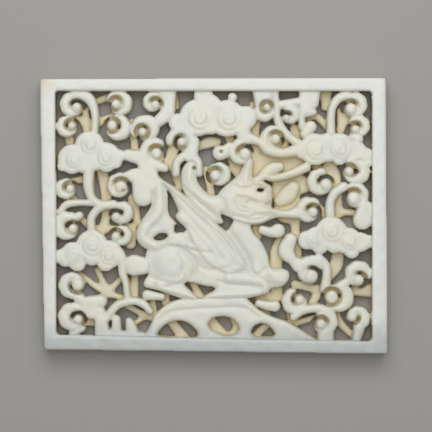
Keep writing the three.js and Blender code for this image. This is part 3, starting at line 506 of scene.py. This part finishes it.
XS = axis(*span(BORDER_OUTSIDE, 0))
YS = axis(*span(BORDER_OUTSIDE, 1))
ZS = axis(BACK, THICKNESS)
field = np.full((len(XS), len(YS), len(ZS)), FAR, dtype=np.float32)


def patch(box):
    """The grid columns inside a box of x0, x1, y0, y1, with room round it, and their x and y."""
    i0, i1 = np.searchsorted(XS, (box[0] - REACH, box[1] + REACH))
    j0, j1 = np.searchsorted(YS, (box[2] - REACH, box[3] + REACH))
    x, y = np.meshgrid(XS[i0:i1], YS[j0:j1], indexing="ij")
    return Patch((slice(i0, i1), slice(j0, j1)), x, y)


def smooth_line(points):
    """Points of x, y, half width along a smooth line through the given ones."""
    knots = np.array(points, dtype=float)
    knots = np.array([2 * knots[0] - knots[1], *knots, 2 * knots[-1] - knots[-2]])
    line = []
    for before, start, end, after in zip(knots, knots[1:], knots[2:], knots[3:]):
        count = max(2, math.ceil(math.dist(start[:2], end[:2]) / LINE_SPACING))
        for t in np.arange(count) / count:
            line.append(0.5 * (2 * start + (end - before) * t
                               + (2 * before - 5 * start + 4 * end - after) * t ** 2
                               + (3 * start - before - 3 * end + after) * t ** 3))
    return line + [knots[-2]]


def stroke(line):
    """Plan of a round-ended stroke along closely spaced points of x, y, half width."""
    rows = np.array(line)
    wide = rows[:, 2].max()

    def distance(x, y):
        nearest = np.full(x.shape, np.inf)
        for cx, cy, half in rows:
            np.minimum(nearest, np.hypot(x - cx, y - cy) - half, out=nearest)
        return nearest

    (x0, x1), (y0, y1) = span(rows, 0), span(rows, 1)
    return Plan((x0 - wide, x1 + wide, y0 - wide, y1 + wide), distance)


def disc(x, y, radius):
    """Plan of a disc."""
    return stroke([(x, y, radius)])


def softened(points, cut=CORNER):
    """A closed outline with its corners cut back twice, so that they look worn."""
    for reach in (cut, cut * 0.45):
        corners = []
        for i, here in enumerate(points):
            for other in (points[i - 1], points[(i + 1) % len(points)]):
                share = min(reach / math.dist(here, other), 0.35)
                corners.append([h + (o - h) * share for h, o in zip(here, other)])
        points = corners
    return points


def outline(points):
    """Plan of a closed outline."""
    def distance(x, y):
        nearest = np.full(x.shape, np.inf)
        inside = np.zeros(x.shape, dtype=bool)
        for (ax, ay), (bx, by) in zip(points, points[1:] + points[:1]):
            ex, ey = bx - ax, by - ay
            along = np.clip(((x - ax) * ex + (y - ay) * ey) / (ex * ex + ey * ey), 0, 1)
            np.minimum(nearest, np.hypot(x - ax - along * ex, y - ay - along * ey), out=nearest)
            if ay != by:
                inside ^= ((ay > y) != (by > y)) & (x < ex * (y - ay) / ey + ax)
        return np.where(inside, -nearest, nearest)

    return Plan((*span(points, 0), *span(points, 1)), distance)


def curl_line(x, y, radius, neck_angle, way, knob_x, knob_y, knob_radius, neck_half):
    """Points of x, y, half width along a curl's scalloped band, which winds in from neck to knob."""
    knob_distance = math.hypot(knob_x - x, knob_y - y)
    knob_angle = math.degrees(math.atan2(knob_y - y, knob_x - x))
    sweep = min((way * (knob_angle - neck_angle)) % 360, MAX_SWEEP)
    line = []
    for t in np.linspace(0, 1, CURL_STEPS):
        angle = math.radians(neck_angle + way * sweep * t)
        weights = ((1 - t) ** 2, 2 * t * (1 - t), t ** 2)
        centre = np.dot(weights, (radius - neck_half, radius / 2, knob_distance))
        half = np.dot(weights, (neck_half, radius / 2, knob_radius))
        half += SCALLOP_HEIGHT * math.sin(SCALLOPS * math.tau * t) * (1 - t)
        line.append((x + centre * math.cos(angle), y + centre * math.sin(angle), half))
    return line


def eased(part):
    """Eases a share between 0 and 1 in and out."""
    part = np.clip(part, 0, 1)
    return part * part * (3 - 2 * part)


class Layer:
    """One depth of the carving: its foot, and maps of its top and of the distance to its outline."""

    def __init__(self, low, high):
        self.low = low
        self.top = np.full(field.shape[:2], float(high))
        self.aside = np.full(field.shape[:2], FAR)

    def draw(self, plan, soft=FILLET):
        """Adds a shape to the outline, with a small fillet where it meets the others."""
        place = patch(plan.box)
        shape = plan.distance(place.x, place.y)
        there = self.aside[place.columns]
        overlap = np.maximum(soft - np.abs(there - shape), 0) / soft
        self.aside[place.columns] = np.minimum(there, shape) - overlap ** 2 * soft / 4

    def pierce(self, plan):
        """Takes a shape out of the outline."""
        place = patch(plan.box)
        there = self.aside[place.columns]
        self.aside[place.columns] = np.maximum(there, -plan.distance(place.x, place.y))

    def swell(self, plan, height, slope):
        """Raises the top to a height inside a shape, easing up over the slope's width."""
        place = patch(plan.box)
        share = eased(-plan.distance(place.x, place.y) / slope)
        there = self.top[place.columns]
        self.top[place.columns] = np.maximum(there, there + (height - there) * share)

    def merge(self, edge, flare=0.0):
        """Adds the layer to the field. Its upper edge is rounded, and its walls flare at the foot."""
        top = self.top[..., None]
        spread = flare * np.clip((top - ZS) / (top - self.low), 0, 1)
        aside = self.aside[..., None] - spread + edge
        above = ZS - top + edge
        outer = np.hypot(np.maximum(aside, 0), np.maximum(above, 0))
        inner = np.minimum(np.maximum(aside, above), 0)
        np.minimum(field, np.maximum(outer + inner - edge, self.low - ZS), out=field)


def wave(x, y):
    """Slow unevenness of a surface cut and polished by hand, from 0 to 1."""
    rolls = (np.sin(0.31 * x + 0.7) * np.cos(0.27 * y - 0.4) + 0.6 * np.sin(0.83 * y + 0.41 * x)
             + 0.5 * np.cos(0.77 * x - 0.63 * y + 1.3))
    return 0.5 + rolls / 4.2


def border():
    """The plain border."""
    layer = Layer(BACK, THICKNESS)
    layer.draw(outline(softened(BORDER_OUTSIDE, SHARP_CORNER)))
    layer.pierce(outline(softened(BORDER_INSIDE, SHARP_CORNER)))
    layer.merge(BORDER_EDGE)


def clouds():
    """The five clouds, raised at each scroll."""
    layer = Layer(BACK, CLOUD_TOP)
    for cloud in CLOUDS:
        for x, y, radius in cloud["lobes"]:
            layer.draw(disc(x, y, radius))
        for x, y, radius in cloud["scrolls"]:
            layer.swell(disc(x, y, radius + SCROLL_ROOM), SCROLL_TOP, radius)
    layer.merge(LAYER_EDGE)


def fronds():
    """The stems and curls of the front layer, with a raised knob in each curl."""
    layer = Layer(FROND_FOOT, FROND_TOP)
    for points in STEMS:
        layer.draw(stroke(smooth_line(points)))
    for row in CURLS:
        layer.draw(stroke(curl_line(*row)), CURL_FILLET)
        knob_x, knob_y, knob_radius = row[5:8]
        layer.swell(disc(knob_x, knob_y, knob_radius + KNOB_ROOM), KNOB_TOP, KNOB_SLOPE)
    layer.merge(LAYER_EDGE, FLARE)


def back_layers():
    """The plain stems of the back layer, and the sunken leaf."""
    lattice = Layer(BACK, LATTICE_TOP)
    for points in LATTICE:
        lattice.draw(stroke(smooth_line(points)), LATTICE_FILLET)
    lattice.merge(LAYER_EDGE, BACK_FLARE)
    leaf = Layer(FROND_FOOT, SUNKEN_TOP)
    leaf.draw(stroke(smooth_line(SUNKEN_LEAF)))
    leaf.merge(LEAF_EDGE, FLARE)


def beast():
    """The beast, with its rounded parts raised and the openings cut through it."""
    layer = Layer(BACK, BEAST_TOP)
    for points in (TRUNK, TAIL, WING, MANE, HEAD):
        layer.draw(outline(softened(points)))
    layer.swell(disc(*HAUNCH), HAUNCH_TOP, HAUNCH_SLOPE)
    for points in LIMBS:
        layer.swell(stroke(smooth_line(points)), LIMB_TOP, LIMB_SLOPE)
    layer.swell(outline(softened(MANE)), MANE_TOP, MANE_SLOPE)
    layer.swell(outline(softened(HEAD)), HEAD_TOP, HEAD_SLOPE)
    layer.swell(outline(softened(WING)), WING_TOP, WING_SLOPE)
    layer.swell(stroke(smooth_line(WING_RIM)), RIM_TOP, RIM_SLOPE)
    for points in FACE:
        layer.swell(stroke(smooth_line(points)), FACE_TOP, FACE_SLOPE)
    for x, y, radius in NUBS:
        layer.swell(disc(x, y, radius), NUB_TOP, radius)
    for gap in BEAST_GAPS:
        layer.pierce(outline(softened(gap, SHARP_CORNER)))
    layer.merge(BEAST_EDGE, BACK_FLARE)


def ridge():
    """The ground under the beast, with its arches."""
    layer = Layer(BACK, RIDGE_TOP)
    layer.draw(outline(softened(RIDGE)))
    for arch in ARCHES:
        layer.pierce(outline(softened(arch, ARCH_CORNER)))
    layer.merge(BEAST_EDGE, RIDGE_FLARE)


# ---- engraving ----
def front_height():
    """Height of the front surface over each grid column, or the back where there is none."""
    solid = field < 0
    top = len(ZS) - 1 - np.argmax(solid[:, :, ::-1], axis=2)
    i, j = np.indices(top.shape)
    below = field[i, j, top]
    above = field[i, j, np.minimum(top + 1, len(ZS) - 1)]
    part = below / np.where(above > below, below - above, -1)
    return np.where(solid.any(axis=2), ZS[top] + GRID * np.clip(part, 0, 1), BACK)


def engrave(depth, plan, most, soft):
    """Deepens a map by a channel with a rounded section. `soft` is how far its sides spread, mm."""
    place = patch(plan.box)
    aside = plan.distance(place.x, place.y)
    depth[place.columns] = np.maximum(depth[place.columns], most * eased(0.5 - aside / soft))


def hook_slit(depth, row):
    """A narrow slit that hooks round a curl's knob from its mouth, and a shallow line that goes on."""
    x, y, radius, neck_angle, way, knob_x, knob_y, knob_radius = row[:8]
    mouth = math.radians(neck_angle - way * MOUTH_TURN)
    mouth_x = x + MOUTH_OUT * radius * math.cos(mouth)
    mouth_y = y + MOUTH_OUT * radius * math.sin(mouth)
    place = patch((x - radius, x + radius, y - radius, y + radius))
    from_knob = np.hypot(place.x - knob_x, place.y - knob_y) - knob_radius
    from_ring = np.abs(from_knob - SLIT_FROM_KNOB)
    from_mouth = np.hypot(place.x - mouth_x, place.y - mouth_y)
    by_mouth = eased((1.15 * radius - from_mouth) / (0.5 * radius))
    slit = SLIT_DEPTH * eased((0.75 - from_ring) / 0.5) * by_mouth
    line = LINE_DEPTH * eased((0.9 - from_ring) / 0.7) * eased((1.8 * radius - from_mouth) / radius)
    depth[place.columns] = np.maximum(depth[place.columns], np.maximum(slit, line))


def whorl(depth, x, y, radius):
    """A shallow spiral line on a cloud."""
    place = patch((x - radius, x + radius, y - radius, y + radius))
    out = np.hypot(place.x - x, place.y - y)
    turn = np.arctan2(place.y - y, place.x - x) / math.tau
    pitch = radius / WHORL_TURNS
    line = np.abs((out / pitch - turn) % 1 - 0.5) * pitch
    groove = WHORL_DEPTH * np.clip(1 - line / 0.6, 0, 1) * np.clip((radius + 0.4 - out) / 0.6, 0, 1)
    depth[place.columns] = np.maximum(depth[place.columns], groove)


def engraving_map():
    """How far the front is cut down over each grid column, mm."""
    depth = np.zeros(field.shape[:2])
    for most, soft, points in ENGRAVING:
        engrave(depth, stroke(smooth_line(points)), most, soft)
    for x, y, radius, most in DRILLED:
        engrave(depth, disc(x, y, radius), most, DRILL_SPREAD)
    for row in CURLS:
        hook_slit(depth, row)
    for cloud in CLOUDS:
        for x, y, radius in cloud["scrolls"]:
            whorl(depth, x, y, radius)
    x, y = np.meshgrid(XS, YS, indexing="ij")
    return depth + WAVE_DEPTH * wave(WAVE_RATE * x, WAVE_RATE * y)


def blurred(values, radius):
    """Three box blurs, with the edges repeated."""
    width = max(1, round(radius / GRID))
    for _ in range(3):
        for way in (0, 1):
            padding = [(0, 0), (0, 0)]
            padding[way] = (width + 1, width)
            total = np.cumsum(np.pad(values, padding, mode="edge"), axis=way)
            count = values.shape[way]
            high = np.take(total, np.arange(2 * width + 1, 2 * width + 1 + count), axis=way)
            low = np.take(total, np.arange(count), axis=way)
            values = (high - low) / (2 * width + 1)
    return values


# ---- mesh ----
def surface_mesh(name):
    """The field's zero surface as a mesh of quads, in metres."""
    grid = openvdb.FloatGrid(FAR)
    grid.copyFromArray(field)
    points, quads = grid.convertToQuads(isovalue=0.0)
    corner = np.array((XS[0], YS[0], ZS[0]))
    places = (corner + GRID * points) * MM
    mesh = bpy.data.meshes.new(name)
    mesh.vertices.add(len(places))
    mesh.vertices.foreach_set("co", places.astype(np.float32).ravel())
    mesh.loops.add(4 * len(quads))
    mesh.loops.foreach_set("vertex_index", quads[:, ::-1].astype(np.int32).ravel())
    mesh.polygons.add(len(quads))
    mesh.polygons.foreach_set("loop_start", 4 * np.arange(len(quads), dtype=np.int32))
    mesh.update(calc_edges=True)
    mesh.validate()
    return mesh


def thinned(piece):
    """Applies a decimation to the largest triangle count allowed."""
    modifier = piece.modifiers.new("thin", "DECIMATE")
    modifier.ratio = TRIANGLES / (2 * len(piece.data.polygons))
    depsgraph = bpy.context.evaluated_depsgraph_get()
    mesh = bpy.data.meshes.new_from_object(piece.evaluated_get(depsgraph))
    piece.modifiers.clear()
    rough = piece.data
    piece.data = mesh
    bpy.data.meshes.remove(rough)


def keep_in_box(mesh):
    """Holds each vertex inside the CAD solid's box, and returns their places in mm."""
    places = np.empty(3 * len(mesh.vertices), dtype=np.float32)
    mesh.vertices.foreach_get("co", places)
    (x0, x1), (y0, y1) = span(BORDER_OUTSIDE, 0), span(BORDER_OUTSIDE, 1)
    low = np.array((x0, y0, BACK)) * MM
    high = np.array((x1, y1, THICKNESS)) * MM
    places = np.clip(places.reshape(-1, 3), low, high)
    mesh.vertices.foreach_set("co", places.astype(np.float32).ravel())
    mesh.update()
    return places / MM


def store_recess(mesh, places, smooth_front):
    """Writes how deep each vertex lies in the carving, from 0 on the front to 1 on the back layer."""
    i = np.clip(np.rint((places[:, 0] - XS[0]) / GRID).astype(int), 0, len(XS) - 1)
    j = np.clip(np.rint((places[:, 1] - YS[0]) / GRID).astype(int), 0, len(YS) - 1)
    hollow = HOLLOW_START + (smooth_front[i, j] - places[:, 2]) / HOLLOW_RANGE
    sunk = (FROND_TOP - TOP_ALLOWANCE - places[:, 2]) / SUNK_RANGE
    recess = np.clip(np.minimum(sunk, hollow), 0, 1).astype(np.float32)
    layer = mesh.attributes.new("recess", "FLOAT", "POINT")
    layer.data.foreach_set("value", recess)


# ---- material ----
def node(tree, kind, **inputs):
    """A new shader node with values set on its sockets. An underscore stands for a space."""
    made = tree.nodes.new(kind)
    for name, value in inputs.items():
        made.inputs[name.replace("_", " ")].default_value = value
    return made


def noise(tree, place, scale, detail, roughness):
    """A noise through the stone."""
    made = node(tree, "ShaderNodeTexNoise", Scale=scale, Detail=detail, Roughness=roughness)
    tree.links.new(place, made.inputs["Vector"])
    return made.outputs["Fac"]


def ramp(tree, value, low, high, start=0.0, end=1.0):
    """Takes a value from between two limits to between two others."""
    made = node(tree, "ShaderNodeMapRange", From_Min=low, From_Max=high, To_Min=start, To_Max=end)
    tree.links.new(value, made.inputs["Value"])
    return made.outputs["Result"]


def tinted(tree, base, color, share):
    """A base colour with another mixed in."""
    made = node(tree, "ShaderNodeMixRGB", Color2=color)
    tree.links.new(base, made.inputs["Color1"])
    tree.links.new(share, made.inputs["Fac"])
    return made.outputs["Color"]


def stone_color(tree, place):
    """Pale and cool jade in cloudy patches, whiter where it stands highest, and greyer and darker low down
    as painted shade.
    """
    cloudy = node(tree, "ShaderNodeMixRGB", Color1=JADE_PALE, Color2=JADE_COOL)
    tree.links.new(ramp(tree, noise(tree, place, *PATCHES), *PATCH_SPAN), cloudy.inputs["Fac"])
    split = tree.nodes.new("ShaderNodeSeparateXYZ")
    tree.links.new(place, split.inputs[0])
    high = ramp(tree, split.outputs["Z"], KNOB_TOP * MM, FACE_TOP * MM)
    # painted shade: greyer and darker towards the lower side, where the light falls off
    low = ramp(tree, split.outputs["Y"], SHADE_STARTS * MM, SHADE_FULL * MM, 0.0, SHADE_SHARE)
    return tinted(tree, tinted(tree, cloudy.outputs["Color"], JADE_WHITE, high), JADE_SHADE_GREY, low)


def stained(tree, base, place):
    """The stone with tan soaked in round a few spots."""
    for centre, radius, strength in STAINS:
        away = tree.nodes.new("ShaderNodeVectorMath")
        away.operation = "DISTANCE"
        away.inputs[1].default_value = Vector(centre) * MM
        tree.links.new(place, away.inputs[0])
        near = ramp(tree, away.outputs["Value"], radius * MM, 0.0, 0.0, strength)
        base = tinted(tree, base, JADE_TAN, near)
    return base


def recess_depth(tree, place):
    """The recess attribute, its edge broken up by the mottle."""
    recess = tree.nodes.new("ShaderNodeAttribute")
    recess.attribute_name = "recess"
    total = tree.nodes.new("ShaderNodeMath")
    total.operation = "MULTIPLY_ADD"
    total.inputs[1].default_value = MOTTLE_SHARE
    tree.links.new(noise(tree, place, *MOTTLE), total.inputs[0])
    tree.links.new(recess.outputs["Fac"], total.inputs[2])
    return total.outputs[0]


def pitted(tree, place):
    """A normal that shows the fine pits of worn stone."""
    bump = node(tree, "ShaderNodeBump", Strength=0.25, Distance=PIT_DEPTH * MM)
    tree.links.new(noise(tree, place, *PITS), bump.inputs["Height"])
    return bump.outputs["Normal"]


def jade_material():
    """Waxy jade, tan and duller in the recesses, with brown in the deepest that is partly patina and
    partly painted shade.
    """
    material = bpy.data.materials.new("jade")
    material.use_nodes = True
    tree = material.node_tree
    link = tree.links.new
    shader = tree.nodes["Principled BSDF"]
    shader.inputs["IOR"].default_value = 1.6
    shader.inputs["Subsurface Weight"].default_value = 0.6
    shader.inputs["Subsurface Radius"].default_value = (1.0, 0.9, 0.65)
    shader.inputs["Subsurface Scale"].default_value = 2.5 * MM

    place = tree.nodes.new("ShaderNodeTexCoord").outputs["Object"]
    deep = recess_depth(tree, place)
    color = stained(tree, stone_color(tree, place), place)
    color = tinted(tree, color, JADE_TAN, ramp(tree, deep, *TAN_SPAN))
    # brown in the deepest recesses: partly patina, partly painted shade
    color = tinted(tree, color, JADE_BROWN_PATINA_AND_SHADE, ramp(tree, deep, *BROWN_PATINA_AND_SHADE_SPAN))
    link(color, shader.inputs["Base Color"])
    link(ramp(tree, deep, 0.0, 1.0, POLISHED, DULL), shader.inputs["Roughness"])
    link(pitted(tree, place), shader.inputs["Normal"])
    return material


# ---- plaque ----
for add_part in (border, ridge, clouds, fronds, beast, back_layers):
    add_part()
raw_front = front_height()
field[:] = np.maximum(field, ZS - (raw_front - engraving_map())[..., None])
smooth_front = blurred(np.maximum(raw_front, LATTICE_TOP), FRONT_BLUR)

plaque = bpy.data.objects.new("jade_plaque_carving", surface_mesh("jade_plaque_carving"))
bpy.context.scene.collection.objects.link(plaque)
thinned(plaque)
store_recess(plaque.data, keep_in_box(plaque.data), smooth_front)
plaque.data.polygons.foreach_set("use_smooth", [True] * len(plaque.data.polygons))
plaque.data.materials.clear()
plaque.data.materials.append(jade_material())
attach(plaque, "root")
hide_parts("jade_plaque")

# ---- floor, light and camera ----
def add_floor():
    """A plain floor, which is not part of the plaque."""
    corners = [(-FLOOR_HALF, -FLOOR_HALF, 0), (FLOOR_HALF, -FLOOR_HALF, 0),
               (FLOOR_HALF, FLOOR_HALF, 0), (-FLOOR_HALF, FLOOR_HALF, 0)]
    mesh = bpy.data.meshes.new("floor")
    mesh.from_pydata(corners, [], [(0, 1, 2, 3)])
    floor = bpy.data.objects.new("floor", mesh)
    bpy.context.scene.collection.objects.link(floor)
    material = bpy.data.materials.new("floor")
    material.use_nodes = True
    shader = material.node_tree.nodes["Principled BSDF"]
    shader.inputs["Base Color"].default_value = FLOOR_COLOR
    shader.inputs["Roughness"].default_value = 0.9
    mesh.materials.append(material)


def add_light(name, place, size, power):
    """A soft rectangular light, aimed at the middle of the plaque."""
    light = bpy.data.lights.new(name, "AREA")
    light.shape = "RECTANGLE"
    light.size, light.size_y = size
    light.energy = power
    lamp = bpy.data.objects.new(name, light)
    bpy.context.scene.collection.objects.link(lamp)
    lamp.location = place
    lamp.rotation_euler = (Vector() - Vector(place)).to_track_quat("-Z", "Y").to_euler()


def add_camera():
    """A camera that looks straight down. VIEW_WIDTH is what it takes in at the carved face."""
    camera = bpy.data.objects.new("camera", bpy.data.cameras.new("camera"))
    bpy.context.scene.collection.objects.link(camera)
    camera.location = (*VIEW_CENTRE, CAMERA_HEIGHT + THICKNESS * MM)
    camera.data.lens = camera.data.sensor_width * CAMERA_HEIGHT / VIEW_WIDTH
    bpy.context.scene.camera = camera


def set_world():
    """An even white sky."""
    world = bpy.data.worlds.new("studio")
    world.use_nodes = True
    background = world.node_tree.nodes["Background"]
    background.inputs["Color"].default_value = (1, 1, 1, 1)
    background.inputs["Strength"].default_value = SKY_STRENGTH
    bpy.context.scene.world = world


add_floor()
for row in LIGHTS:
    add_light(*row)
add_camera()
set_world()
bpy.context.scene.view_settings.view_transform = "Standard"
